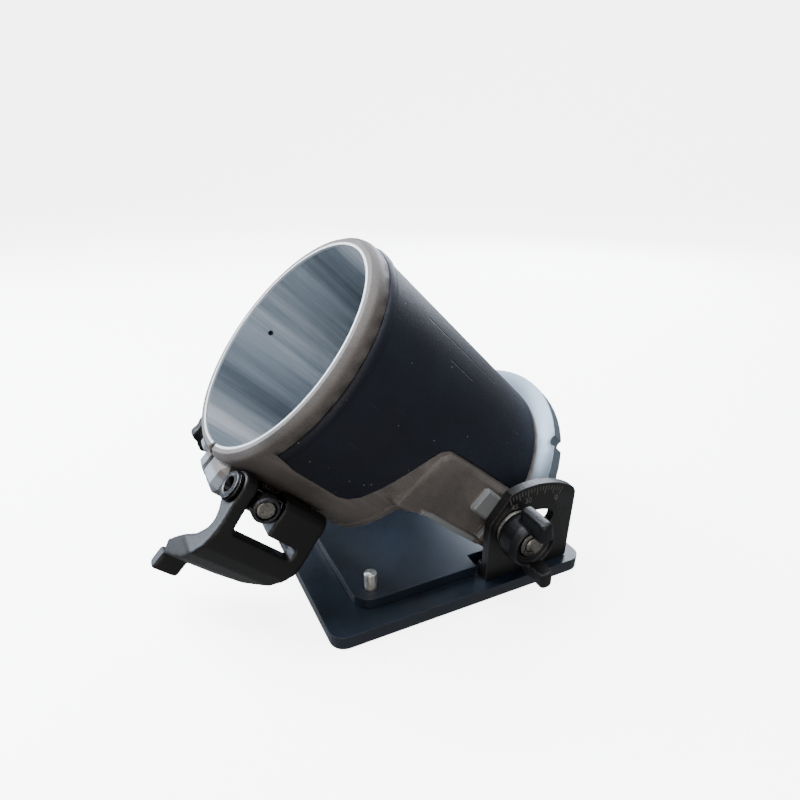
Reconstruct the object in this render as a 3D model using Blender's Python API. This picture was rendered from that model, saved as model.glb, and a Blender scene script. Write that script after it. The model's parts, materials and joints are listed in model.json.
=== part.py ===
"""Tilting base for a compact router: a split motor collar with a cam lever, hinged between
two scaled brackets on a two-layer sole. Metres, +Z up, origin at the middle of the underside."""
import math

import bpy
import bmesh
from mathutils import Matrix, Vector

mm = 0.001
gap = 0.3 * mm                      # air kept between pieces that touch

# driving dimensions
boreRadius = 32.5 * mm              # takes a 65 mm router motor
collarRadius = 36.2 * mm
collarHeight = 82.3 * mm
bevelAngle = math.radians(45)       # tilt of the collar as built
soleLength = 86 * mm                # along X
soleWidth = 92.8 * mm               # along Y
soleThickness = 4.3 * mm
guideThickness = 3.3 * mm

# layout
soleTop = soleThickness
guideBottom = soleTop + gap
guideTop = guideBottom + guideThickness
pivot = Vector((22.5 * mm, 0, 9.5 * mm))
pivotInCollar = Vector((-3.4 * mm, 0, -5.4 * mm))   # collar frame: on its axis, at the foot
bracketOuter = 43 * mm
bracketThickness = 3 * mm
bracketInner = bracketOuter - bracketThickness
bracketLeft = 8 * mm
bracketRight = 38.3 * mm
scaleRadius = 25.8 * mm
slotRadius = 13.9 * mm
slotHalfWidth = 2.8 * mm
slotStart = math.radians(-28)
slotEnd = math.radians(24.5)
knobAngle = math.radians(-25.5)     # of the clamp stud about the pivot, from upright
boltHeight = 68.9 * mm              # collar frame, as is everything on the collar
pinionHeight = 73 * mm
pinionReach = 37.5 * mm
clampReach = 35.1 * mm              # lever pin and tension bolt, in front of the axis
leverPinY = -22.7 * mm
lugFront = 41.8 * mm
splitNear, splitFar = -7.7 * mm, -5.3 * mm
lugNear, lugFar = -17.4 * mm, 0.6 * mm
leverTop, leverBottom = 77.8 * mm, 49.3 * mm


def clearScene():
    for item in list(bpy.data.objects):
        bpy.data.objects.remove(item, do_unlink=True)


def makeMaterial(name, colour, roughness, metallic=0.0):
    material = bpy.data.materials.new(name)
    material.use_nodes = True
    shader = material.node_tree.nodes["Principled BSDF"]
    shader.inputs["Base Color"].default_value = (*colour, 1)
    shader.inputs["Roughness"].default_value = roughness
    shader.inputs["Metallic"].default_value = metallic
    return material


def makeFrame(name, location, parent=None, tilt=0.0):
    frame = bpy.data.objects.new(name, None)
    frame.location = location
    frame.rotation_euler = (0, tilt, 0)
    frame.parent = parent
    bpy.context.scene.collection.objects.link(frame)
    return frame


def place(name, bm, material=None, parent=None, at=(0, 0, 0)):
    """Turn a bmesh, given in its frame, into an object whose origin is at `at`."""
    bmesh.ops.translate(bm, verts=bm.verts, vec=-Vector(at))
    bmesh.ops.recalc_face_normals(bm, faces=bm.faces)
    mesh = bpy.data.meshes.new(name)
    bm.to_mesh(mesh)
    bm.free()
    mesh.shade_smooth()
    mesh.set_sharp_from_angle(angle=math.radians(32))
    item = bpy.data.objects.new(name, mesh)
    item.location = at
    item.parent = parent
    if material:
        mesh.materials.append(material)
    else:
        item.hide_render = True
        item.display_type = "WIRE"
    bpy.context.scene.collection.objects.link(item)
    return item


def combine(target, tool, operation="DIFFERENCE"):
    modifier = target.modifiers.new(operation.title(), "BOOLEAN")
    modifier.operation = operation
    modifier.solver = "EXACT"
    modifier.object = tool


def roundEdges(target, width, segments=1, angle=50):
    modifier = target.modifiers.new("Bevel", "BEVEL")
    modifier.width = width
    modifier.segments = segments
    modifier.limit_method = "ANGLE"
    modifier.angle_limit = math.radians(angle)


def boxMesh(low, high):
    bm = bmesh.new()
    bmesh.ops.create_cube(bm, size=1)
    size = Vector(high) - Vector(low)
    middle = (Vector(high) + Vector(low)) / 2
    bmesh.ops.transform(bm, matrix=Matrix.LocRotScale(middle, None, size), verts=bm.verts)
    return bm


def prismMesh(outline, low, high, along="Y"):
    """Extrude a closed outline: (x, z) pairs along Y, or (x, y) pairs along Z."""
    lift = {"Y": lambda u, v, w: (u, w, v), "Z": lambda u, v, w: (u, v, w)}[along]
    bm = bmesh.new()
    face = bm.faces.new([bm.verts.new(lift(u, v, low)) for u, v in outline])
    extruded = bmesh.ops.extrude_face_region(bm, geom=[face])
    moved = [part for part in extruded["geom"] if isinstance(part, bmesh.types.BMVert)]
    bmesh.ops.translate(bm, verts=moved, vec=Vector(lift(0, 0, high - low)))
    return bm


def turnedMesh(profile, segments, centre=(0, 0, 0), axis="Z"):
    """Turn (radius, height) pairs about an axis. A profile off the axis closes into a ring."""
    bm = bmesh.new()
    rings = []
    for step in range(segments):
        angle = 2 * math.pi * step / segments
        ring = []
        for index, (radius, height) in enumerate(profile):
            if radius == 0 and step:
                ring.append(rings[0][index])
            else:
                ring.append(bm.verts.new((radius * math.cos(angle), radius * math.sin(angle), height)))
        rings.append(ring)
    closed = all(radius for radius, height in profile)
    for step in range(segments):
        here, there = rings[step], rings[(step + 1) % segments]
        for index in range(len(profile) if closed else len(profile) - 1):
            after = (index + 1) % len(profile)
            corners = [here[index], here[after], there[after], there[index]]
            corners = [vert for place_, vert in enumerate(corners) if vert not in corners[:place_]]
            bm.faces.new(corners)
    if axis == "Y":
        bmesh.ops.rotate(bm, verts=bm.verts, matrix=Matrix.Rotation(math.radians(-90), 3, "X"))
    bmesh.ops.translate(bm, verts=bm.verts, vec=Vector(centre))
    return bm


def rodMesh(radius, low, high, centre, axis="Y", segments=24):
    return turnedMesh([(0, low), (radius, low), (radius, high), (0, high)], segments, centre, axis)


def tubeMesh(inner, outer, low, high, centre, axis="Y", segments=32):
    profile = [(inner, low), (outer, low), (outer, high), (inner, high)]
    return turnedMesh(profile, segments, centre, axis)


def arcPoints(centre, radius, start, end, count):
    """Points on an arc whose angles are measured from straight up, clockwise."""
    angles = [start + (end - start) * step / (count - 1) for step in range(count)]
    return [(centre[0] + radius * math.sin(a), centre[1] + radius * math.cos(a)) for a in angles]


def roundedRectangle(left, right, bottom, top, radius, steps=6):
    corners = [((right - radius, top - radius), 0), ((right - radius, bottom + radius), 90),
               ((left + radius, bottom + radius), 180), ((left + radius, top - radius), 270)]
    points = []
    for centre, start in corners:
        points += arcPoints(centre, radius, math.radians(start), math.radians(start + 90), steps)
    return points


def screwProfile(headRadius, shankRadius, bottom, top, clearance=0.0):
    """A flat-headed screw driven up from below."""
    cone = headRadius - shankRadius
    head = headRadius + clearance
    shank = shankRadius + clearance
    low = bottom - (2 * mm if clearance else 0)
    return [(0, low), (head, low), (head, bottom + 0.4 * mm), (shank, bottom + 0.4 * mm + cone),
            (shank, top + clearance), (0, top + clearance)]


def addPlates():
    black = makeMaterial("black painted steel", (0.045, 0.055, 0.068), 0.42, 0.2)
    steel = makeMaterial("zinc plated steel", (0.62, 0.62, 0.6), 0.32, 0.9)
    halfLength, halfWidth = soleLength / 2, soleWidth / 2
    sole = place("sole_plate", prismMesh(
        roundedRectangle(-halfLength, halfLength, -halfWidth, halfWidth, 4.5 * mm),
        0, soleThickness, "Z"), black)
    guide = place("guide_plate", prismMesh(
        roundedRectangle(-32.6 * mm, 38.5 * mm, -39 * mm, 39 * mm, 6 * mm),
        guideBottom, guideTop, "Z"), black)
    bitOpening = place("cut_bit_opening", prismMesh(
        roundedRectangle(10 * mm, 40 * mm, -15 * mm, 15 * mm, 13.9 * mm, 9),
        -5 * mm, 20 * mm, "Z"))
    for plate in (sole, guide):
        combine(plate, bitOpening)
    for side, sign in (("near", -1), ("far", 1)):
        edge = sorted((sign * 33.3 * mm, sign * 50 * mm))
        notch = place("cut_notch_" + side, boxMesh(
            (6.8 * mm, edge[0], 0), (50 * mm, edge[1], 20 * mm)))
        combine(guide, notch)
        plateScrews = [("left", -26.3 * mm, 33.2 * mm, 12.9 * mm), ("right", 32 * mm, 26 * mm, 7.4 * mm)]
        for end, x, y, top in plateScrews:
            centre = (x, sign * y, 0)
            screw = screwProfile(3.6 * mm, 1.9 * mm, 0.4 * mm, top)
            place("plate_screw_%s_%s" % (end, side), turnedMesh(screw, 20, centre), steel)
            hole = screwProfile(3.6 * mm, 1.9 * mm, 0.4 * mm, 20 * mm, gap)
            cutter = place("cut_plate_screw_%s_%s" % (end, side), turnedMesh(hole, 20, centre))
            combine(sole, cutter)
            combine(guide, cutter)
    return sole


def addBrackets(sole):
    black = makeMaterial("black powder coat", (0.02, 0.021, 0.024), 0.5)
    steel = makeMaterial("black oxide screw", (0.08, 0.08, 0.085), 0.4, 0.8)
    bronze = makeMaterial("sintered bronze", (0.45, 0.3, 0.16), 0.45, 0.9)
    centre = (pivot.x, pivot.z)
    outline = [(bracketLeft, guideBottom), (bracketLeft, 25.2 * mm), (12.1 * mm, 30.5 * mm)]
    outline += arcPoints(centre, scaleRadius, math.radians(-18), math.radians(35), 15)
    outline += [(bracketRight, 28.8 * mm), (bracketRight, guideBottom)]
    slot = arcPoints(centre, slotRadius + slotHalfWidth, slotStart, slotEnd, 15)
    slot += arcPoints(arcPoints(centre, slotRadius, slotEnd, slotEnd, 2)[0], slotHalfWidth,
                      slotEnd, slotEnd + math.pi, 7)[1:-1]
    slot += arcPoints(centre, slotRadius - slotHalfWidth, slotEnd, slotStart, 15)
    slot += arcPoints(arcPoints(centre, slotRadius, slotStart, slotStart, 2)[0], slotHalfWidth,
                      slotStart + math.pi, slotStart + 2 * math.pi, 7)[1:-1]
    feet = [(bracketLeft, 15.2 * mm), (29.8 * mm, bracketRight)]
    for side, sign in (("near", -1), ("far", 1)):
        inner, outer = sign * bracketInner, sign * bracketOuter
        low, high = sorted((inner, outer))
        bracket = place("bracket_" + side, prismMesh(outline, low, high), black)
        footLow, footHigh = sorted((sign * 38.2 * mm, outer))
        for number, (left, right) in enumerate(feet, 1):
            foot = place("join_foot_%s_%d" % (side, number), boxMesh(
                (left, footLow, guideBottom), (right, footHigh, 9 * mm)))
            combine(bracket, foot, "UNION")
        slotCutter = place("cut_slot_" + side, prismMesh(slot, low - mm, high + mm))
        combine(bracket, slotCutter)
        pivotHole = place("cut_pivot_" + side, rodMesh(
            2.3 * mm, low - mm, high + mm, (pivot.x, 0, pivot.z)))
        combine(bracket, pivotHole)
        for number, (left, right) in enumerate(feet, 1):
            spot = ((left + right) / 2, sign * 40.6 * mm, 0)
            screw = screwProfile(2.9 * mm, 1.4 * mm, 0.4 * mm, 8 * mm)
            place("bracket_screw_%s_%d" % (side, number), turnedMesh(screw, 16, spot), steel)
            hole = screwProfile(2.9 * mm, 1.4 * mm, 0.4 * mm, 8 * mm, gap)
            cutter = place("cut_bracket_screw_%s_%d" % (side, number), turnedMesh(hole, 16, spot))
            combine(sole, cutter)
            combine(bracket, cutter)
        face = bracketOuter + gap
        pin = [(0, 33.4 * mm), (2 * mm, 33.4 * mm), (2 * mm, face), (3.8 * mm, face),
               (3.8 * mm, face + 1 * mm), (2.6 * mm, face + 1.8 * mm), (0, face + 1.8 * mm)]
        nut = [(2.3 * mm, 33.9 * mm), (3.4 * mm, 33.9 * mm), (3.4 * mm, 36.4 * mm), (2.3 * mm, 36.4 * mm)]
        bush = [(2.3 * mm, 36.8 * mm), (3.1 * mm, 36.8 * mm), (3.1 * mm, 39.6 * mm), (2.3 * mm, 39.6 * mm)]
        spot = (pivot.x, 0, pivot.z)
        place("pivot_pin_" + side, turnedMesh(mirrored(pin, sign), 24, spot, "Y"), steel, at=spot)
        place("pivot_nut_" + side, turnedMesh(mirrored(nut, sign), 6, spot, "Y"), steel, at=spot)
        place("pivot_bush_" + side, turnedMesh(mirrored(bush, sign), 24, spot, "Y"), bronze, at=spot)


def mirrored(profile, sign):
    return [(radius, sign * height) for radius, height in profile]


def gripOutline(margin):
    """Side view of the rubber panel, x and height, kept `margin` inside its recess."""
    front = [(-20.5, 77.5), (-22, 70), (-22, 54.5), (-21, 52), (-18.5, 50.4), (-14, 49.2), (-6, 47),
             (1.5, 44.2), (5.2, 42.2), (7, 39.6), (7.8, 32), (9.3, 12), (9.3, 6.3)]
    shift = margin / mm
    points = [((x + shift) * mm, (h + shift * 0.5) * mm) for x, h in front]
    points[0] = (points[0][0], 77.5 * mm - margin)
    points[-1] = (points[-1][0], 6.3 * mm + margin)
    return points + [(60 * mm, 6.3 * mm + margin), (60 * mm, 77.5 * mm - margin)]


def addCollar(frame):
    cast = makeMaterial("painted aluminium casting", (0.27, 0.26, 0.26), 0.45, 0.5)
    rubber = makeMaterial("black rubber", (0.018, 0.021, 0.03), 0.6)
    offset = -pivotInCollar

    def add(name, bm, material=None):
        bmesh.ops.translate(bm, verts=bm.verts, vec=offset)
        return place(name, bm, material, frame)

    top = collarHeight
    wall = [(boreRadius - mm, 0), (collarRadius, 0), (collarRadius, top - 2.4 * mm),
            (collarRadius - 0.5 * mm, top - 1.2 * mm), (34.4 * mm, top), (boreRadius - mm, top)]
    collar = add("motor_collar", turnedMesh(wall, 72), cast)

    flange = add("join_flange", turnedMesh(
        [(boreRadius - mm, -0.01 * mm), (42 * mm, -0.01 * mm), (42 * mm, 4.3 * mm),
         (boreRadius - mm, 4.3 * mm)], 72))
    for side, sign in (("near", -1), ("far", 1)):
        low, high = sorted((sign * 38.2 * mm, sign * 60 * mm))
        combine(flange, add("cut_flange_" + side, boxMesh(
            (-60 * mm, low, -5 * mm), (60 * mm, high, 9 * mm))))
        scallop = (30 * mm, sign * 30 * mm, 0)
        combine(flange, add("cut_scallop_" + side, rodMesh(
            2 * mm, -5 * mm, 9 * mm, scallop, "Z", 16)))
    combine(collar, flange, "UNION")

    grip = add("rubber_grip", turnedMesh(
        [(34.9 * mm, 2 * mm), (36.3 * mm, 2 * mm), (36.3 * mm, 74.4 * mm), (36.9 * mm, 75 * mm),
         (36.9 * mm, 76.4 * mm), (36.3 * mm, 77 * mm), (36.3 * mm, 80 * mm), (34.9 * mm, 80 * mm)],
        72), rubber)
    combine(grip, add("keep_grip", prismMesh(gripOutline(gap), -60 * mm, 60 * mm)), "INTERSECT")
    recess = add("cut_grip_recess", turnedMesh(
        [(34.6 * mm, 2 * mm), (50 * mm, 2 * mm), (50 * mm, 80 * mm), (34.6 * mm, 80 * mm)], 72))
    combine(recess, add("keep_recess", prismMesh(gripOutline(0), -60 * mm, 60 * mm)), "INTERSECT")
    combine(collar, recess)

    cheek = [(-14, 44), (-11, -0.02), (8.9, -0.02), (7.4, 32), (6.4, 39), (4.2, 41.6)]
    ear = arcPoints((pivotInCollar.x, pivotInCollar.z), 4.6 * mm, math.radians(90), math.radians(270), 13)
    ear += [(pivotInCollar.x - 4.6 * mm, 13 * mm), (pivotInCollar.x + 4.6 * mm, 13 * mm)]
    knobSpot = arcPoints((pivotInCollar.x, pivotInCollar.z), slotRadius, knobAngle + bevelAngle, 0, 2)[0]
    for side, sign in (("near", -1), ("far", 1)):
        low, high = sorted((sign * 31 * mm, sign * 37.3 * mm))
        pad = add("join_cheek_" + side, prismMesh([(x * mm, h * mm) for x, h in cheek], low, high))
        roundEdges(pad, 0.9 * mm)
        combine(collar, pad, "UNION")
        low, high = sorted((sign * 36.7 * mm, sign * 39.7 * mm))
        combine(collar, add("join_ear_" + side, prismMesh(ear, low, high)), "UNION")
        low, high = sorted((sign * 36.5 * mm, sign * 39.7 * mm))
        boss = add("join_boss_" + side, boxMesh(
            (-2.4 * mm, low, 14.3 * mm), (5.7 * mm, high, 22.6 * mm)))
        roundEdges(boss, 0.8 * mm)
        combine(collar, boss, "UNION")

    shaftBoss = add("join_shaft_boss", boxMesh(
        (-40.6 * mm, 9.5 * mm, 70 * mm), (-30 * mm, 15.9 * mm, 77 * mm)))
    roundEdges(shaftBoss, 1.2 * mm)
    combine(collar, shaftBoss, "UNION")
    lip = [(-31, 37), (-31, 42), (-15, 42), (-11, 39.8), (-9.5, 34.8), (-9.2, 24), (-8.4, 13),
           (-14, 13), (-14, 37)]
    lip = [(x * mm, h * mm) for x, h in lip]
    edge = add("join_window_lip", turnedMesh(
        [(35 * mm, 10 * mm), (37.1 * mm, 10 * mm), (37.1 * mm, 60 * mm), (35 * mm, 60 * mm)], 72))
    combine(edge, add("keep_window_lip", prismMesh(lip, -60 * mm, 60 * mm)), "INTERSECT")
    combine(collar, edge, "UNION")
    for side, sign in (("near", -1), ("far", 1)):
        low, high = sorted((sign * 36.6 * mm, sign * 38.3 * mm))
        strip = add("join_cheek_lip_" + side, prismMesh(
            [(-14 * mm, 36 * mm), (-10.3 * mm, 36 * mm), (-9.4 * mm, 32 * mm), (-9.1 * mm, 24 * mm),
             (-8.2 * mm, 10 * mm), (-14 * mm, 10 * mm)], low, high))
        roundEdges(strip, 0.5 * mm)
        combine(collar, strip, "UNION")
    lugs = add("join_lugs", boxMesh((-lugFront, lugNear, 48.5 * mm), (-33 * mm, lugFar, 80.4 * mm)))
    roundEdges(lugs, 2 * mm)
    combine(collar, lugs, "UNION")

    window = [(-60, 39), (-22, 40), (-15.5, 40), (-12.6, 38), (-11.3, 34), (-11, 24), (-9.5, 3),
              (-9.2, -20), (-60, -20)]
    cuts = {
        "bore": rodMesh(boreRadius, -20 * mm, 120 * mm, (0, 0, 0), "Z", 72),
        "window": prismMesh([(x * mm, h * mm) for x, h in window], -60 * mm, 60 * mm),
        "split": boxMesh((-60 * mm, splitNear, -9 * mm), (-28 * mm, splitFar, 120 * mm)),
        "bolt_hole": rodMesh(2.2 * mm, -30 * mm, 30 * mm, (-clampReach, 0, boltHeight), segments=20),
        "shaft_hole": rodMesh(1.9 * mm, -6 * mm, 20 * mm, (-pinionReach, 0, pinionHeight), segments=20),
        "wall_hole": rodMesh(0.9 * mm, 25 * mm, 35.5 * mm, (-1.2 * mm, 0, 73 * mm), segments=10),
    }
    for side, sign in (("near", -1), ("far", 1)):
        low, high = sorted((sign * 33.2 * mm, sign * 50 * mm))
        cuts["stud_hole_" + side] = rodMesh(2.7 * mm, low, high, (knobSpot[0], 0, knobSpot[1]), segments=20)
        cuts["bush_hole_" + side] = rodMesh(3.4 * mm, low, high, pivotInCollar)
    for name, bm in cuts.items():
        combine(collar, add("cut_" + name, bm))
    return knobSpot


def addClampKnobs(frame, knobSpot):
    steel = makeMaterial("plated stud", (0.6, 0.6, 0.58), 0.3, 0.9)
    plastic = makeMaterial("black nylon", (0.015, 0.016, 0.02), 0.45)
    brass = makeMaterial("nickel plated insert", (0.66, 0.64, 0.58), 0.3, 0.9)
    spot = Vector((knobSpot[0], 0, knobSpot[1])) - pivotInCollar
    for side, sign in (("near", -1), ("far", 1)):
        def add(name, profile, segments, material):
            bm = turnedMesh(mirrored(profile, sign), segments, spot, "Y")
            return place(name + "_" + side, bm, material, frame, spot)

        add("clamp_stud", [(0, 33.6 * mm), (2.35 * mm, 33.6 * mm), (2.35 * mm, 52.6 * mm),
                           (1.9 * mm, 53 * mm), (0, 53 * mm)], 20, steel)
        add("clamp_washer", [(2.8 * mm, 43.3 * mm), (6.2 * mm, 43.3 * mm), (6.2 * mm, 44.3 * mm),
                             (2.8 * mm, 44.3 * mm)], 28, steel)
        add("knob_insert", [(2.65 * mm, 46 * mm), (4 * mm, 46 * mm), (4 * mm, 52.4 * mm),
                            (2.65 * mm, 52.4 * mm)], 24, brass)
        hub = [(0, 44.6 * mm), (6.6 * mm, 44.6 * mm), (7.6 * mm, 46.6 * mm), (7.6 * mm, 51.4 * mm),
               (6.8 * mm, 53.6 * mm), (0, 53.6 * mm)]
        knob = add("wing_knob", hub, 32, plastic)
        low, high = sorted((sign * 48.5 * mm, sign * 59.5 * mm))
        wings = place("join_wings_" + side, prismMesh(
            [(-1.9 * mm, -11.8 * mm), (1.9 * mm, -11.8 * mm), (2.6 * mm, 0), (1.9 * mm, 11.8 * mm),
             (-1.9 * mm, 11.8 * mm), (-2.6 * mm, 0)], low, high), None, frame)
        roundEdges(wings, 1.2 * mm, 2, 40)
        wings.location = spot
        wings.rotation_euler = (0, bevelAngle - math.radians(7), 0)
        combine(knob, wings, "UNION")
        bore = mirrored([(0, 40 * mm), (4.3 * mm, 40 * mm), (4.3 * mm, 52 * mm), (6.1 * mm, 52.4 * mm),
                         (6.1 * mm, 70 * mm), (0, 70 * mm)], sign)
        cutter = place("cut_knob_bore_" + side, turnedMesh(bore, 24, spot, "Y"), None, frame, spot)
        combine(knob, cutter)


def leverSection():
    """Lever seen along its pin: x to the near side, y outward, from the pin's centre."""
    eye = arcPoints((0, 0), 4.9 * mm, math.radians(-90), math.radians(-20), 5)
    eye = [(x, -y) for x, y in eye]
    outer = [(0.5, -5.2), (2.8, -4.5), (4.3, -2.6), (4.9, 2), (6.4, 7), (7, 11), (6.3, 15.6), (3.6, 20.2),
             (-1.4, 24.8), (-8.8, 29.2), (-16.4, 33.2)]
    inner = [(-17.4, 29), (-11.8, 24.2), (-5.8, 19.8), (-1, 16.2), (1.4, 12.8), (2, 10.6),
             (1.7, 9), (0.6, 7.4), (-1.4, 5.8), (-3.6, 3.6)]
    return eye + [(x * mm, y * mm) for x, y in outer + inner]


def addLever(frame):
    plastic = makeMaterial("black glass-filled nylon", (0.02, 0.02, 0.026), 0.4)
    steel = makeMaterial("polished steel", (0.55, 0.55, 0.56), 0.25, 0.95)
    pinSpot = Vector((-clampReach, leverPinY, 0)) - pivotInCollar
    hinge = makeFrame("lever_frame", pinSpot, frame)

    def add(name, bm, material=None, parent=hinge):
        return place(name, bm, material, parent)

    section = [(-y, -x) for x, y in leverSection()]
    lever = add("cam_lever", prismMesh(section, leverBottom, leverTop, "Z"), plastic)
    middle = leverTop - 7.5 * mm
    tab = add("join_tab", boxMesh(
        (-39.2 * mm, 16 * mm, middle - 4.4 * mm), (-32.6 * mm, 20.6 * mm, middle + 4.4 * mm)))
    roundEdges(tab, 0.8 * mm)
    combine(lever, tab, "UNION")
    reach = [(-12.3, 49.3), (-20, 51.5), (-26, 56.5), (-31, 62), (-34.5, 65.4), (-60, 65.4),
             (-60, 30), (-12.3, 30)]
    combine(lever, add("cut_lever_foot", prismMesh(
        [(x * mm, h * mm) for x, h in reach], -60 * mm, 60 * mm)))
    taper = [(-14, 80), (-22, 77.2), (-33, 74.4), (-60, 74.4), (-60, 90), (-14, 90)]
    combine(lever, add("cut_lever_taper", prismMesh(
        [(x * mm, h * mm) for x, h in taper], -60 * mm, 60 * mm)))
    combine(lever, add("cut_lever_window", boxMesh(
        (-9.6 * mm, -20 * mm, 54 * mm), (-6 * mm, 20 * mm, leverTop - 4.6 * mm))))
    combine(lever, add("cut_lever_slot", boxMesh(
        (-8 * mm, -20 * mm, boltHeight - 4.7 * mm), (20 * mm, 20 * mm, boltHeight + 4.7 * mm))))
    combine(lever, add("cut_lever_eyes", rodMesh(3.8 * mm, 30 * mm, 100 * mm, (0, 0, 0), "Z", 28)))

    pin = place("lever_pin", turnedMesh(
        [(0, leverBottom - 0.5 * mm), (3.5 * mm, leverBottom - 0.5 * mm), (3.5 * mm, leverTop + 0.3 * mm),
         (4.3 * mm, leverTop + 0.3 * mm), (4.3 * mm, leverTop + 1.1 * mm), (3.7 * mm, leverTop + 1.7 * mm),
         (2.2 * mm, leverTop + 1.7 * mm), (2.2 * mm, leverTop - 1 * mm), (0, leverTop - 1 * mm)],
        28, pinSpot), steel, frame, pinSpot)
    height = boltHeight - pivotInCollar.z
    lineX = pinSpot.x
    combine(pin, place("cut_pin_cross", rodMesh(
        2.2 * mm, -60 * mm, 30 * mm, (lineX, 0, height), segments=20), None, frame))
    combine(pin, place("cut_pin_flat", boxMesh(
        (lineX - 6 * mm, leverPinY - 9 * mm, height - 4.4 * mm),
        (lineX + 6 * mm, leverPinY - 1.8 * mm, height + 4.4 * mm)), None, frame))
    spot = Vector((lineX, 0, height))
    bolt = [(0, leverPinY - 5.2 * mm), (2.4 * mm, leverPinY - 5.2 * mm), (2.6 * mm, leverPinY - 4.9 * mm),
            (2.6 * mm, leverPinY - 2.4 * mm), (1.9 * mm, leverPinY - 2.4 * mm),
            (1.9 * mm, lugFar - 0.4 * mm), (1.5 * mm, lugFar), (0, lugFar)]
    place("tension_bolt", turnedMesh(bolt, 24, spot, "Y"), steel, frame, spot)
    nut = [(2.9 * mm, leverPinY - 2.1 * mm), (2.9 * mm, leverPinY - 5.6 * mm),
           (3.5 * mm, leverPinY - 5.6 * mm), (3.9 * mm, leverPinY - 5.2 * mm),
           (3.9 * mm, leverPinY - 2.1 * mm)]
    place("lock_nut", turnedMesh(nut, 32, spot, "Y"), steel, frame, spot)


def addDepthKnob(frame):
    plastic = makeMaterial("black acetal", (0.015, 0.016, 0.02), 0.4)
    steel = makeMaterial("ground steel", (0.6, 0.6, 0.6), 0.3, 0.95)
    spot = Vector((-pinionReach, 0, pinionHeight)) - pivotInCollar
    hinge = makeFrame("depth_frame", spot, frame)
    shaft = [(0, -7.3 * mm), (1.6 * mm, -7.3 * mm), (1.6 * mm, 23.2 * mm), (1.3 * mm, 23.6 * mm),
             (0, 23.6 * mm)]
    pinionTeeth = 10
    teeth = []
    for tooth in range(pinionTeeth):
        for radius, part in ((1.9, 0.0), (2.6, 0.3), (2.6, 0.5), (1.9, 0.8)):
            angle = 2 * math.pi * (tooth + part) / pinionTeeth
            teeth.append((radius * mm * math.cos(angle), radius * mm * math.sin(angle)))
    shaftItem = place("depth_pinion", turnedMesh(shaft, 20, axis="Y"), steel, hinge)
    combine(shaftItem, place("join_teeth", prismMesh(
        teeth, splitNear + 0.4 * mm, splitFar - 0.4 * mm), None, hinge), "UNION")
    lobes = 6
    outline = []
    for step in range(lobes * 8):
        angle = 2 * math.pi * step / (lobes * 8)
        radius = (5.6 + 0.55 * math.cos(lobes * angle)) * mm
        outline.append((radius * math.cos(angle), radius * math.sin(angle)))
    knob = place("depth_knob", prismMesh(outline, 19.2 * mm, 22.8 * mm), plastic, hinge)
    combine(knob, place("join_knob_neck", rodMesh(
        3.1 * mm, 16.3 * mm, 20 * mm, (0, 0, 0)), None, hinge), "UNION")
    combine(knob, place("cut_knob_shaft", rodMesh(1.9 * mm, 5 * mm, 30 * mm, (0, 0, 0)), None, hinge))


def main():
    clearScene()
    sole = addPlates()
    addBrackets(sole)
    frame = makeFrame("collar_frame", pivot, None, -bevelAngle)
    knobSpot = addCollar(frame)
    addClampKnobs(frame, knobSpot)
    addLever(frame)
    addDepthKnob(frame)


main()
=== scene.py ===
import json
import math
import bmesh
import bpy
from mathutils import Matrix, Vector


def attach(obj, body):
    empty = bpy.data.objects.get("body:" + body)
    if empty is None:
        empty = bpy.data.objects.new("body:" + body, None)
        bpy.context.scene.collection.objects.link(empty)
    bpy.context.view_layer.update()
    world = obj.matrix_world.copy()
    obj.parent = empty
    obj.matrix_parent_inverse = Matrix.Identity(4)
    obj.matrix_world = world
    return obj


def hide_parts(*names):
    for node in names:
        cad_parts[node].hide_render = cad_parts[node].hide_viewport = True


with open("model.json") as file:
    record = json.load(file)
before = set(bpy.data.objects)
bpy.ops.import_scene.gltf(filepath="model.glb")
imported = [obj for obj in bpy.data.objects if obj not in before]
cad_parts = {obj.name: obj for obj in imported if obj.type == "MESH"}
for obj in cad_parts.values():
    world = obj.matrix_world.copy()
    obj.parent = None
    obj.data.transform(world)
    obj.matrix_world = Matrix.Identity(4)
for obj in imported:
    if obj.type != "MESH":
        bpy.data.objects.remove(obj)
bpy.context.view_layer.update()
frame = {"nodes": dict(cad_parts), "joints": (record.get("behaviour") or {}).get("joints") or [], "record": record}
nodes = frame["nodes"]
print("frame loaded,", len(nodes), "nodes")

mm = 0.001


def toLinear(code):
    parts = [int(code[i:i + 2], 16) / 255 for i in (1, 3, 5)]
    return [p / 12.92 if p <= 0.04045 else ((p + 0.055) / 1.055) ** 2.4 for p in parts] + [1.0]


def addNode(tree, kind, settings=None, output=0):
    # settings hold the node's options, its inputs' values and the sockets linked to them
    node = tree.nodes.new(kind)
    for key, value in (settings or {}).items():
        if key == "stops":
            while len(node.color_ramp.elements) < len(value):
                node.color_ramp.elements.new(0.5)
            for element, (position, code) in zip(node.color_ramp.elements, value):
                element.position = position
                element.color = toLinear(code)
        elif isinstance(value, bpy.types.NodeSocket):
            tree.links.new(value, node.inputs[key])
        elif isinstance(key, int) or key in node.inputs:
            node.inputs[key].default_value = value
        else:
            setattr(node, key, value)
    return node.outputs[output]


def startMaterial(name, metallic, roughness):
    material = bpy.data.materials.new(name)
    material.use_nodes = True
    tree = material.node_tree
    shader = tree.nodes["Principled BSDF"]
    shader.inputs["Metallic"].default_value = metallic
    shader.inputs["Roughness"].default_value = roughness
    return material, tree, shader


def feedShader(tree, shader, sockets):
    for key, socket in sockets.items():
        tree.links.new(socket, shader.inputs[key])


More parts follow.
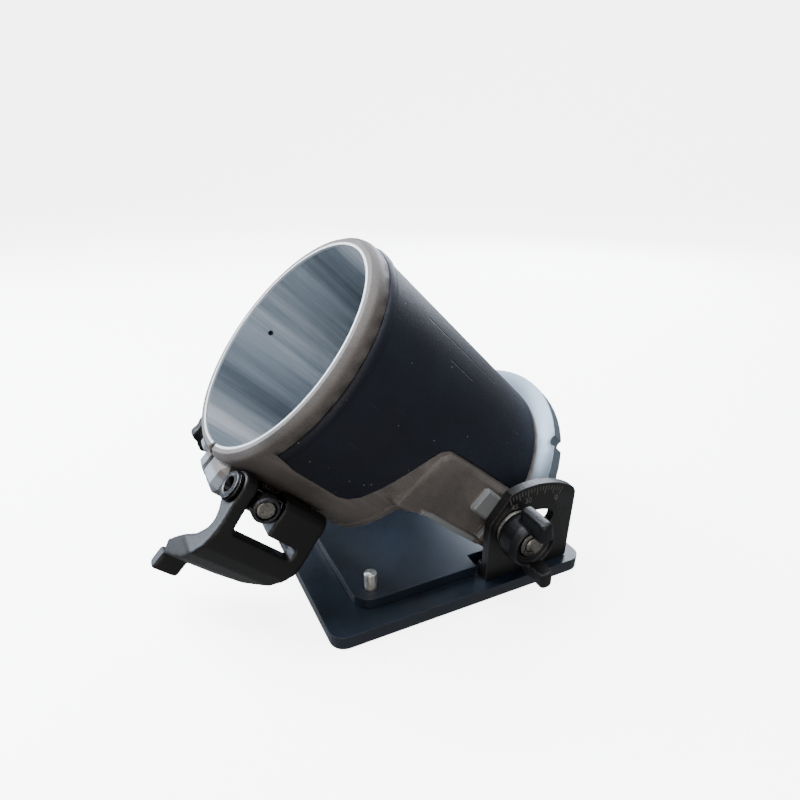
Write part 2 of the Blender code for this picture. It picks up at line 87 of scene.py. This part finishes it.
# the collar's own frame: origin at its foot on the bore's axis, Z towards the mouth, in mm
collar = {"tilt": 45, "axisX": 3.4, "foot": 5.4, "boreRadius": 32.5}
tiltJoint = next(joint for joint in frame["joints"] if joint["name"] == "tilt")
pivot = Vector(tiltJoint["pos_m"])
tiltTurn = Matrix.Rotation(math.radians(-collar["tilt"]), 4, "Y")
footCentre = pivot + tiltTurn @ Vector((collar["axisX"] * mm, 0, collar["foot"] * mm))


def collarCoordinates(tree):  # millimetres in the collar's frame
    return addNode(tree, "ShaderNodeMapping", {
        "vector_type": "TEXTURE", "Location": footCentre, "Scale": (mm, mm, mm),
        "Rotation": (0, math.radians(-collar["tilt"]), 0),
        "Vector": addNode(tree, "ShaderNodeTexCoord", output="Object")})


def plainCoordinates(tree):  # millimetres in the object's own frame
    return addNode(tree, "ShaderNodeVectorMath", {
        "operation": "SCALE", "Scale": 1000, 0: addNode(tree, "ShaderNodeTexCoord", output="Object")})


def edgeWearAndHighlight(tree, radiusMm):  # 1 on edges, where handling rubs a finish and where a painted edge highlight lies
    rounded = addNode(tree, "ShaderNodeBevel", {"samples": 4, "Radius": radiusMm * mm})
    flat = addNode(tree, "ShaderNodeNewGeometry", output="Normal")
    turned = addNode(tree, "ShaderNodeVectorMath", {"operation": "DOT_PRODUCT", 0: rounded, 1: flat}, 1)
    return addNode(tree, "ShaderNodeMapRange", {"Value": turned, "From Min": 0.98, "From Max": 0.75})


def softSurface(tree, height, strength, depthMm, radiusMm):  # grain on top of rounded edges
    rounded = addNode(tree, "ShaderNodeBevel", {"samples": 4, "Radius": radiusMm * mm})
    return addNode(tree, "ShaderNodeBump", {
        "Strength": strength, "Distance": depthMm * mm, "Height": height, "Normal": rounded})


# the sprayed grain and turning lines are drawn coarser than they are, so that they show
castLook = {"paint": "#5b5653", "paintDark": "#474340", "fleck": "#7d7874", "wornAndLit": "#98948f", "wearAndHighlight": 0.5,
            "boreReflectionDark": "#76808a", "boreReflectionMid": "#b0bac2", "boreReflectionLight": "#fafcff", "rimBareAndHighlit": "#dde0e0",
            "foot": "#75838f", "boss": "#717577", "lug": "#6c7378", "grainMm": 0.55, "cloudMm": 14,
            "reflectionStreakMm": 19, "lineMm": 0.9, "edgeMm": 0.3}


def makeCastAluminium():
    # die-cast aluminium: sprayed a flat warm grey outside, bare in the bore with painted reflection streaks,
    # a thin bare rim carrying a painted highlight, a bare foot and a machined boss both lightened by painted
    # light, a lighter cooler grey on the lug ends, and lighter edges that are partly wear, partly painted
    # highlight
    material, tree, shader = startMaterial("dieCastAluminium", 0.35, 0.5)
    at = collarCoordinates(tree)
    x, y, z = addNode(tree, "ShaderNodeSeparateXYZ", {0: at}).node.outputs
    flat = addNode(tree, "ShaderNodeVectorMath", {"operation": "MULTIPLY", 0: at, 1: (1, 1, 0)})
    radius = addNode(tree, "ShaderNodeVectorMath", {"operation": "LENGTH", 0: flat}, 1)
    out = addNode(tree, "ShaderNodeMath", {"operation": "ABSOLUTE", 0: y})
    bore = addNode(tree, "ShaderNodeMapRange", {
        "Value": radius, "From Min": collar["boreRadius"] + 0.25, "From Max": collar["boreRadius"] + 0.1})
    # the mouth's end face: bare machined metal, painted near white as a highlight
    topFace = addNode(tree, "ShaderNodeMapRange", {"Value": z, "From Min": 81.4, "From Max": 81.9})
    innerRing = addNode(tree, "ShaderNodeMapRange", {"Value": radius, "From Min": 33.3, "From Max": 33})
    rimBareAndHighlit = addNode(tree, "ShaderNodeMath", {"operation": "MULTIPLY", 0: topFace, 1: innerRing})
    # the foot flange's rear: bare metal, painted a lighter bluer grey that also stands in for the light on its
    # up-facing face
    low = addNode(tree, "ShaderNodeMapRange", {"Value": z, "From Min": 5.4, "From Max": 4.2})
    rear = addNode(tree, "ShaderNodeMapRange", {"Value": x, "From Min": 8, "From Max": 20})
    foot = addNode(tree, "ShaderNodeMath", {"operation": "MULTIPLY", 0: low, 1: rear})
    # the side bosses: a machined face, painted a lighter grey that also stands in for the light falling on them
    boss = addNode(tree, "ShaderNodeMapRange", {"Value": out, "From Min": 37.9, "From Max": 38.4})
    bossHeight = addNode(tree, "ShaderNodeMapRange", {"Value": z, "From Min": 12, "From Max": 13})
    boss = addNode(tree, "ShaderNodeMath", {"operation": "MULTIPLY", 0: boss, 1: bossHeight})
    # the lugs' outer ends in a lighter, cooler grey
    lug = addNode(tree, "ShaderNodeMapRange", {"Value": x, "From Min": -36.4, "From Max": -37.4})
    longer = addNode(tree, "ShaderNodeVectorMath", {"operation": "MULTIPLY", 0: at, 1: (1, 1, 0.04)})
    # painted reflection: broad light and dark streaks along the bore's axis, running up to near white, stand in
    # for the room reflected in the bare bore
    reflectionStreaks = addNode(tree, "ShaderNodeTexNoise", {
        "Vector": longer, "Scale": 1 / castLook["reflectionStreakMm"], "Detail": 3, "Roughness": 0.55})
    lines = addNode(tree, "ShaderNodeTexNoise", {
        "Vector": longer, "Scale": 1 / castLook["lineMm"], "Detail": 2, "Roughness": 0.5})
    reflectionMix = addNode(tree, "ShaderNodeMix", {0: 0.1, 2: reflectionStreaks, 3: lines})
    boreReflectionColour = addNode(tree, "ShaderNodeValToRGB", {"Fac": reflectionMix, "stops": [
        (0.38, castLook["boreReflectionDark"]), (0.5, castLook["boreReflectionMid"]), (0.63, castLook["boreReflectionLight"])]})
    cloud = addNode(tree, "ShaderNodeTexNoise", {
        "Vector": at, "Scale": 1 / castLook["cloudMm"], "Detail": 3, "Roughness": 0.55})
    grain = addNode(tree, "ShaderNodeTexNoise", {
        "Vector": at, "Scale": 1 / castLook["grainMm"], "Detail": 3, "Roughness": 0.7})
    colour = addNode(tree, "ShaderNodeValToRGB", {
        "Fac": cloud, "stops": [(0.35, castLook["paintDark"]), (0.65, castLook["paint"])]})
    flecks = addNode(tree, "ShaderNodeMapRange", {
        "Value": grain, "From Min": 0.45, "From Max": 0.75, "To Max": 0.22})
    wearAndHighlight = addNode(tree, "ShaderNodeMath", {
        "operation": "MULTIPLY", 0: edgeWearAndHighlight(tree, 0.5), 1: castLook["wearAndHighlight"]})
    layers = [
        (flecks, castLook["fleck"]), (lug, castLook["lug"]), (boss, castLook["boss"]),
        (wearAndHighlight, castLook["wornAndLit"]), (foot, castLook["foot"]), (bore, boreReflectionColour), (rimBareAndHighlit, castLook["rimBareAndHighlit"])]
    for amount, over in layers:
        over = toLinear(over) if isinstance(over, str) else over
        colour = addNode(tree, "ShaderNodeMix", {"data_type": "RGBA", 0: amount, 6: colour, 7: over}, 2)
    bare = addNode(tree, "ShaderNodeMath", {"operation": "MAXIMUM", 0: bore, 1: rimBareAndHighlit})
    bare = addNode(tree, "ShaderNodeMath", {"operation": "MAXIMUM", 0: bare, 1: foot})
    metallic = addNode(tree, "ShaderNodeMapRange", {"Value": bare, "To Min": 0.2, "To Max": 0.7})
    smooth = addNode(tree, "ShaderNodeMapRange", {"Value": bare, "To Min": 0.5, "To Max": 0.27})
    rough = addNode(tree, "ShaderNodeMath", {"operation": "MULTIPLY_ADD", 0: lines, 1: 0.16, 2: smooth})
    relief = addNode(tree, "ShaderNodeMapRange", {"Value": bare, "To Min": 1, "To Max": 0.1})
    height = addNode(tree, "ShaderNodeMath", {"operation": "MULTIPLY", 0: grain, 1: relief})
    feedShader(tree, shader, {
        "Base Color": colour, "Metallic": metallic, "Roughness": rough,
        "Normal": softSurface(tree, height, 0.35, 0.12, castLook["edgeMm"])})
    return material


# the true grain is finer: it is drawn as coarse as it needs to show
rubberLook = {"dark": "#070b16", "light": "#101625", "speck": "#8d95a2", "scuff": "#232833",
              "wornAndLit": "#2a2f39", "cloudMm": 22, "grainMm": 0.7, "speckMm": 1.3, "scuffMm": 1.1,
              "edgeMm": 0.5, "shine": 0.32, "lines": [(-32, 30, 62), (-44, 42, 52)]}  # degrees, from, to


def makeGripRubber():
    # moulded nitrile rubber: near black with a blue cast, a fine matt grain, dusty specks,
    # and two shallow moulded lines up the back
    material, tree, shader = startMaterial("mouldedRubber", 0, 0.56)
    at = collarCoordinates(tree)
    x, y, z = addNode(tree, "ShaderNodeSeparateXYZ", {0: at}).node.outputs
    cloud = addNode(tree, "ShaderNodeTexNoise", {
        "Vector": at, "Scale": 1 / rubberLook["cloudMm"], "Detail": 4, "Roughness": 0.6})
    colour = addNode(tree, "ShaderNodeValToRGB", {
        "Fac": cloud, "stops": [(0.35, rubberLook["dark"]), (0.7, rubberLook["light"])]})
    cells = addNode(tree, "ShaderNodeTexVoronoi", {"Vector": at, "Scale": 1 / rubberLook["speckMm"]}).node
    tint = addNode(tree, "ShaderNodeSeparateColor", {0: cells.outputs["Color"]})
    chosen = addNode(tree, "ShaderNodeMapRange", {
        "Value": tint, "From Min": 0.965, "From Max": 0.975, "To Max": 0.5})
    dot = addNode(tree, "ShaderNodeMapRange", {
        "Value": cells.outputs["Distance"], "From Min": 0.2, "From Max": 0.1})
    specks = addNode(tree, "ShaderNodeMath", {"operation": "MULTIPLY", 0: dot, 1: chosen})
    longer = addNode(tree, "ShaderNodeVectorMath", {"operation": "MULTIPLY", 0: at, 1: (1, 1, 0.08)})
    rubs = addNode(tree, "ShaderNodeTexNoise", {
        "Vector": longer, "Scale": 1 / rubberLook["scuffMm"], "Detail": 2, "Roughness": 0.5})
    scuffs = addNode(tree, "ShaderNodeMapRange", {
        "Value": rubs, "From Min": 0.72, "From Max": 0.78, "To Max": 0.35})
    wearAndHighlight = addNode(tree, "ShaderNodeMath", {"operation": "MULTIPLY", 0: edgeWearAndHighlight(tree, 0.4), 1: 0.3})
    for amount, over in ((specks, "speck"), (scuffs, "scuff"), (wearAndHighlight, "wornAndLit")):
        colour = addNode(tree, "ShaderNodeMix", {
            "data_type": "RGBA", 0: amount, 6: colour, 7: toLinear(rubberLook[over])}, 2)
    grain = addNode(tree, "ShaderNodeTexNoise", {
        "Vector": at, "Scale": 1 / rubberLook["grainMm"], "Detail": 3, "Roughness": 0.6})
    rough = addNode(tree, "ShaderNodeMapRange", {
        "Value": grain, "From Min": 0.3, "From Max": 0.7, "To Min": 0.5, "To Max": 0.66})
    angle = addNode(tree, "ShaderNodeMath", {"operation": "ARCTAN2", 0: y, 1: x})
    height = addNode(tree, "ShaderNodeMath", {"operation": "MULTIPLY", 0: grain, 1: 0.25})
    for degrees, low, high in rubberLook["lines"]:
        off = addNode(tree, "ShaderNodeMath", {"operation": "SUBTRACT", 0: angle, 1: math.radians(degrees)})
        off = addNode(tree, "ShaderNodeMath", {"operation": "ABSOLUTE", 0: off})
        line = addNode(tree, "ShaderNodeMapRange", {
            "interpolation_type": "SMOOTHSTEP", "Value": off, "From Min": 0.011, "From Max": 0.003})
        begin = addNode(tree, "ShaderNodeMapRange", {"Value": z, "From Min": low - 1, "From Max": low})
        end = addNode(tree, "ShaderNodeMapRange", {"Value": z, "From Min": high, "From Max": high - 1})
        line = addNode(tree, "ShaderNodeMath", {"operation": "MULTIPLY", 0: line, 1: begin})
        line = addNode(tree, "ShaderNodeMath", {"operation": "MULTIPLY", 0: line, 1: end})
        height = addNode(tree, "ShaderNodeMath", {"operation": "SUBTRACT", 0: height, 1: line})
    shader.inputs["Specular IOR Level"].default_value = rubberLook["shine"]
    feedShader(tree, shader, {
        "Base Color": colour, "Roughness": rough,
        "Normal": softSurface(tree, height, 0.5, 0.35, rubberLook["edgeMm"])})
    return material


coatLooks = {
    # blue-black enamel, smooth enough to hold a soft shine
    "stoveEnamelledSteel": {"dark": "#0b121a", "light": "#131d28", "wornAndLit": "#4d5964", "wearAndHighlight": 0.45,
                            "rough": 0.34, "grainMm": 0.5, "bump": 0.06, "edgeMm": 0.2, "metallic": 0,
                            "shine": 0.5},
    # dead black with a faint pebble; its lighter edges are partly wear, partly a painted highlight along the lit
    # arc edge
    "blackPowderCoat": {"dark": "#050505", "light": "#0b0a0a", "wornAndLit": "#8a8a88", "wearAndHighlight": 0.35,
                        "rough": 0.42, "grainMm": 0.6, "bump": 0.3, "edgeMm": 0.3,
                        "metallic": 0, "shine": 0.5},
    # black and satin, slightly mottled where the mould wore; its lighter edges are partly wear, partly painted
    # highlight
    "glassFilledNylon": {"dark": "#040404", "light": "#0a0909", "wornAndLit": "#3c3f44", "wearAndHighlight": 0.25,
                         "rough": 0.46, "grainMm": 0.8, "bump": 0.3, "edgeMm": 0.5,
                         "metallic": 0, "shine": 0.4},
    # smoother and a little bluer, with the same partly painted edge highlight
    "satinNylon": {"dark": "#020306", "light": "#06070c", "wornAndLit": "#3a3f46", "wearAndHighlight": 0.3, "rough": 0.42,
                   "grainMm": 1.0, "bump": 0.12, "edgeMm": 0.5, "metallic": 0, "shine": 0.4},
    # oil-black steel with lighter rims: partly rubbed bright, partly a painted highlight
    "rubbedAndHighlitBlackOxide": {"dark": "#141416", "light": "#232326", "wornAndLit": "#d2d2ce", "wearAndHighlight": 0.9,
                         "rough": 0.34, "grainMm": 0.5, "bump": 0.08, "edgeMm": 0.35,
                         "metallic": 1, "shine": 0.5},
    # matt grey enamel in the engraving, dulled by dust
    "engravingEnamel": {"dark": "#55544f", "light": "#7a7870", "wornAndLit": "#8d8c86", "wearAndHighlight": 0.3, "rough": 0.6,
                        "grainMm": 0.5, "bump": 0.1, "edgeMm": 0.2, "metallic": 0, "shine": 0.5},
}

coatPattern = {"cloudMm": 16, "patchMm": 3.5, "reliefMm": 0.12}  # broad tone, handled patches, grain depth


def makeCoating(name):
    look = coatLooks[name]
    material, tree, shader = startMaterial(name, look["metallic"], look["rough"])
    at = plainCoordinates(tree)
    cloud = addNode(tree, "ShaderNodeTexNoise", {
        "Vector": at, "Scale": 1 / coatPattern["cloudMm"], "Detail": 4, "Roughness": 0.6})
    grain = addNode(tree, "ShaderNodeTexNoise", {
        "Vector": at, "Scale": 1 / look["grainMm"], "Detail": 3, "Roughness": 0.65})
    patches = addNode(tree, "ShaderNodeTexNoise", {
        "Vector": at, "Scale": 1 / coatPattern["patchMm"], "Detail": 3, "Roughness": 0.55})
    colour = addNode(tree, "ShaderNodeValToRGB", {
        "Fac": cloud, "stops": [(0.32, look["dark"]), (0.7, look["light"])]})
    handled = addNode(tree, "ShaderNodeMapRange", {
        "Value": patches, "From Min": 0.35, "From Max": 0.65,
        "To Min": 0.25 * look["wearAndHighlight"], "To Max": look["wearAndHighlight"]})
    wearAndHighlight = addNode(tree, "ShaderNodeMath", {
        "operation": "MULTIPLY", 0: edgeWearAndHighlight(tree, look["edgeMm"]), 1: handled})
    colour = addNode(tree, "ShaderNodeMix", {
        "data_type": "RGBA", 0: wearAndHighlight, 6: colour, 7: toLinear(look["wornAndLit"])}, 2)
    rough = addNode(tree, "ShaderNodeMapRange", {
        "Value": grain, "From Min": 0.3, "From Max": 0.7,
        "To Min": look["rough"] - 0.06, "To Max": look["rough"] + 0.08})
    shader.inputs["Specular IOR Level"].default_value = look["shine"]
    feedShader(tree, shader, {
        "Base Color": colour, "Roughness": rough,
        "Normal": softSurface(tree, grain, look["bump"], coatPattern["reliefMm"], look["edgeMm"])})
    return material


metalLooks = {
    # pale and warm, slightly clouded
    "brightZincPlate": {"dark": "#a9aaa4", "light": "#e4e3dc", "rough": 0.42, "lineMm": 0.8,
                        "stretch": (1, 1, 0.2)},
    # grey-beige with fine turning lines
    "turnedSteel": {"dark": "#66635d", "light": "#a29e96", "rough": 0.36, "lineMm": 0.5,
                    "stretch": (1, 1, 0.6)},
    # charcoal, dry
    "blackOxideSteel": {"dark": "#323235", "light": "#5c5c60", "rough": 0.42, "lineMm": 0.6,
                        "stretch": (1, 1, 1)},
    # dull brown and porous
    "sinteredBronze": {"dark": "#6e4f2c", "light": "#9a7444", "rough": 0.45, "lineMm": 0.4,
                       "stretch": (1, 1, 1)},
}


def makeMetal(name):
    look = metalLooks[name]
    material, tree, shader = startMaterial(name, 1, look["rough"])
    at = addNode(tree, "ShaderNodeVectorMath", {
        "operation": "MULTIPLY", 0: plainCoordinates(tree), 1: look["stretch"]})
    lines = addNode(tree, "ShaderNodeTexNoise", {
        "Vector": at, "Scale": 1 / look["lineMm"], "Detail": 3, "Roughness": 0.6})
    colour = addNode(tree, "ShaderNodeValToRGB", {
        "Fac": lines, "stops": [(0.3, look["dark"]), (0.7, look["light"])]})
    rough = addNode(tree, "ShaderNodeMapRange", {
        "Value": lines, "From Min": 0.3, "From Max": 0.7,
        "To Min": look["rough"] - 0.07, "To Max": look["rough"] + 0.1})
    feedShader(tree, shader, {
        "Base Color": colour, "Roughness": rough, "Normal": softSurface(tree, lines, 0.15, 0.05, 0.25)})
    return material


def standFor(piece, name):
    body = next(key for key, members in frame["record"]["behaviour"]["bodies"].items() if name in members)
    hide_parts(name)
    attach(piece, body)


def bakeShape(piece, material):
    # keep what the modifiers make, without them
    bpy.context.view_layer.update()
    shaped = piece.evaluated_get(bpy.context.evaluated_depsgraph_get())
    mesh = bpy.data.meshes.new_from_object(shaped)
    piece.modifiers.clear()
    piece.data = mesh
    mesh.materials.clear()
    mesh.materials.append(material)
    return mesh


sharpAbove = {"motor_collar": 26, "others": 24}  # degrees between faces kept as a hard edge


def roundCopy(name, material):
    # a turned, cast or bent piece: its CAD shape, shaded smoothly across the curves
    bm = bmesh.new()
    bm.from_mesh(nodes[name].data)
    bmesh.ops.remove_doubles(bm, verts=bm.verts, dist=0.002 * mm)
    mesh = bpy.data.meshes.new(name + "_round")
    bm.to_mesh(mesh)
    bm.free()
    mesh.shade_smooth()
    mesh.set_sharp_from_angle(angle=math.radians(sharpAbove.get(name, sharpAbove["others"])))
    piece = bpy.data.objects.new(name + "_round", mesh)
    bpy.context.scene.collection.objects.link(piece)
    even = piece.modifiers.new("Even", "WEIGHTED_NORMAL")
    even.mode = "FACE_AREA_WITH_ANGLE"
    even.keep_sharp = True
    bakeShape(piece, material)
    standFor(piece, name)


def mouldedCopy(name, material, voxelMm, passes):
    # a moulded piece: its CAD solid with every edge rounded as the mould rounds it
    piece = bpy.data.objects.new(name + "_moulded", nodes[name].data.copy())
    bpy.context.scene.collection.objects.link(piece)
    remesh = piece.modifiers.new("Remesh", "REMESH")
    remesh.mode = "VOXEL"
    remesh.voxel_size = voxelMm * mm
    relax = piece.modifiers.new("Smooth", "SMOOTH")
    relax.factor = 0.5
    relax.iterations = passes
    bakeShape(piece, material).shade_smooth()
    standFor(piece, name)


castAluminium = makeCastAluminium()
mouldedRubber = makeGripRubber()
coats = {name: makeCoating(name) for name in coatLooks}
metals = {name: makeMetal(name) for name in metalLooks}
print("finishes made")

finishes = [  # what each piece's name starts with, and its finish
    (("motor_collar",), castAluminium), (("rubber_grip",), mouldedRubber),
    (("sole_plate", "guide_plate"), coats["stoveEnamelledSteel"]),
    (("bracket_near", "bracket_far"), coats["blackPowderCoat"]),
    (("cam_lever",), coats["glassFilledNylon"]), (("wing_knob", "depth_knob"), coats["satinNylon"]),
    (("lever_pin",), coats["rubbedAndHighlitBlackOxide"]),
    (("clamp_washer", "plate_screw", "depth_pinion"), metals["brightZincPlate"]),
    (("clamp_stud", "tension", "knob_insert"), metals["turnedSteel"]),
    (("bracket_screw", "pivot_pin", "pivot_nut", "lock_nut"), metals["blackOxideSteel"]),
    (("pivot_bush",), metals["sinteredBronze"]),
]
# voxel size in mm and smoothing passes
moulded = {"cam_lever": (0.45, 7), "wing_knob_near": (0.35, 5), "wing_knob_far": (0.35, 5),
           "depth_knob": (0.35, 4)}
for name in list(nodes):
    finish = next(material for starts, material in finishes if name.startswith(starts))
    nodes[name].data.materials.clear()
    nodes[name].data.materials.append(finish)
    if name in moulded:
        mouldedCopy(name, finish, *moulded[name])
    else:
        roundCopy(name, finish)
print("pieces smoothed")

scaleMarks = {"centre": (22.5, 9.5), "face": 43.0, "outer": 24.8, "short": 1.5, "long": 2.6, "width": 0.2,
              "step": 2.5, "start": -20, "end": 25, "proud": 0.05, "numberSize": 2.5, "numberRadius": 20.9,
              "numbers": [("45", -18), ("30", -5), ("0", 24)]}


def addMark(item, side):
    bpy.context.scene.collection.objects.link(item)
    item.data.materials.append(coats["engravingEnamel"])
    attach(item, "base")


def addScale(side, sign):
    # filled degree marks and numbers along the bracket's arc
    bm = bmesh.new()
    cx, cz = scaleMarks["centre"]
    for index in range(int((scaleMarks["end"] - scaleMarks["start"]) / scaleMarks["step"]) + 1):
        angle = math.radians(scaleMarks["start"] + index * scaleMarks["step"])
        length = scaleMarks["long"] if index % 3 == 0 else scaleMarks["short"]
        middle = scaleMarks["outer"] - length / 2
        spot = Vector((cx + middle * math.sin(angle), sign * scaleMarks["face"],
                       cz + middle * math.cos(angle)))
        size = Matrix.Diagonal((scaleMarks["width"], 2 * scaleMarks["proud"], length, 1))
        bmesh.ops.create_cube(
            bm, size=1, matrix=Matrix.Translation(spot) @ Matrix.Rotation(angle, 4, "Y") @ size)
    bmesh.ops.scale(bm, vec=(mm, mm, mm), verts=bm.verts)
    mesh = bpy.data.meshes.new("degree_marks_" + side)
    bm.to_mesh(mesh)
    bm.free()
    addMark(bpy.data.objects.new("degree_marks_" + side, mesh), side)
    for label, degrees in scaleMarks["numbers"]:
        angle = math.radians(degrees)
        words = bpy.data.curves.new("degrees_" + label + "_" + side, "FONT")
        words.body = label
        words.size = scaleMarks["numberSize"] * mm
        words.align_x = "CENTER"
        words.align_y = "CENTER"
        words.extrude = scaleMarks["proud"] * mm
        item = bpy.data.objects.new(words.name, words)
        radius = scaleMarks["numberRadius"]
        item.location = Vector((cx + radius * math.sin(angle), sign * scaleMarks["face"],
                                cz + radius * math.cos(angle))) * mm
        item.rotation_euler = (math.radians(90), 0, 0 if sign < 0 else math.radians(180))
        addMark(item, side)


for side, sign in (("near", -1), ("far", 1)):
    addScale(side, sign)
print("degree scales added")

cameraView = {"position": (-76.4, -160.3, 127.9), "azimuth": -25.28, "elevation": 32.32, "roll": -0.58,
              "lens": 27.09, "shiftY": 0.1125}


def addCamera():
    azimuth, elevation = math.radians(cameraView["azimuth"]), math.radians(cameraView["elevation"])
    forward = -Vector((math.sin(azimuth) * math.cos(elevation), -math.cos(azimuth) * math.cos(elevation),
                       math.sin(elevation)))
    right = forward.cross(Vector((0, 0, 1))).normalized()
    up = right.cross(forward)
    roll = math.radians(cameraView["roll"])
    across = math.cos(roll) * right + math.sin(roll) * up
    over = math.cos(roll) * up - math.sin(roll) * right
    data = bpy.data.cameras.new("camera")
    data.lens = cameraView["lens"]
    data.shift_y = cameraView["shiftY"]
    data.clip_start = 0.005
    camera = bpy.data.objects.new("camera", data)
    place = Matrix((across, over, -forward)).transposed().to_4x4()
    place.translation = Vector(cameraView["position"]) * mm
    camera.matrix_world = place
    bpy.context.scene.collection.objects.link(camera)
    bpy.context.scene.camera = camera


lamps = [  # name, place, aim, size, watts, colour
    ("topSoftbox", (-0.3, 0.26, 0.48), (0, 0, 0.04), 0.42, 13.0, "#eef4ff"),
    ("lowWindow", (-0.42, 0.30, 0.12), (-0.02, 0, 0.01), 0.22, 1.8, "#dcebff"),
    ("rearStrip", (0.36, 0.36, 0.26), (0.02, 0, 0.05), 0.25, 4.0, "#e8f1ff"),
    ("overhead", (0.05, -0.05, 0.8), (0, 0, 0), 0.5, 5.0, "#ffffff"),
    ("nearFill", (-0.35, -0.7, 0.25), (0, 0, 0.03), 0.6, 3.5, "#fff6ee"),
]


room = {"colour": "#eef1f5", "strength": 0.4}


def addLights():
    for name, place, aim, size, watts, colour in lamps:
        data = bpy.data.lights.new(name, "AREA")
        data.size = size
        data.energy = watts
        data.color = toLinear(colour)[:3]
        lamp = bpy.data.objects.new(name, data)
        lamp.location = place
        lamp.rotation_euler = (Vector(aim) - Vector(place)).to_track_quat("-Z", "Y").to_euler()
        bpy.context.scene.collection.objects.link(lamp)
    world = bpy.data.worlds.new("studio")
    world.use_nodes = True
    world.node_tree.nodes["Background"].inputs["Color"].default_value = toLinear(room["colour"])
    world.node_tree.nodes["Background"].inputs["Strength"].default_value = room["strength"]
    bpy.context.scene.world = world


sweep = {"front": -1.6, "bend": 0.9, "radius": 0.6, "top": 2.2, "halfWidth": 2.2, "steps": 16,
         "below": 0.00005, "colour": "#f7f7f6", "glow": 5, "roughness": 0.9}


def addFloor():
    # one pale sweep: floor, a wide curve and a wall behind
    bm = bmesh.new()
    bend, radius = sweep["bend"], sweep["radius"]
    profile = [(sweep["front"], 0), (bend, 0)]
    for step in range(1, sweep["steps"] + 1):
        angle = math.radians(90 * step / sweep["steps"])
        profile.append((bend + radius * math.sin(angle), radius - radius * math.cos(angle)))
    profile.append((bend + radius, sweep["top"]))
    rows = []
    for side in (-sweep["halfWidth"], sweep["halfWidth"]):
        rows.append([bm.verts.new((side, y, z - sweep["below"])) for y, z in profile])
    for index in range(len(profile) - 1):
        bm.faces.new((rows[0][index], rows[1][index], rows[1][index + 1], rows[0][index + 1]))
    mesh = bpy.data.meshes.new("floor")
    bm.to_mesh(mesh)
    bm.free()
    mesh.shade_smooth()
    floor = bpy.data.objects.new("floor", mesh)
    floor.visible_glossy = False  # a white room below would wash out the black pieces
    floor.visible_diffuse = False
    floor.rotation_euler = (0, 0, math.radians(cameraView["azimuth"]))
    bpy.context.scene.collection.objects.link(floor)
    material, tree, shader = startMaterial("paperBackdrop", 0, sweep["roughness"])
    shader.inputs["Base Color"].default_value = toLinear(sweep["colour"])
    shader.inputs["Emission Color"].default_value = toLinear("#ffffff")
    shader.inputs["Emission Strength"].default_value = sweep["glow"]  # burns out to near white
    mesh.materials.append(material)


addCamera()
addLights()
addFloor()
print("camera, lights and floor ready")
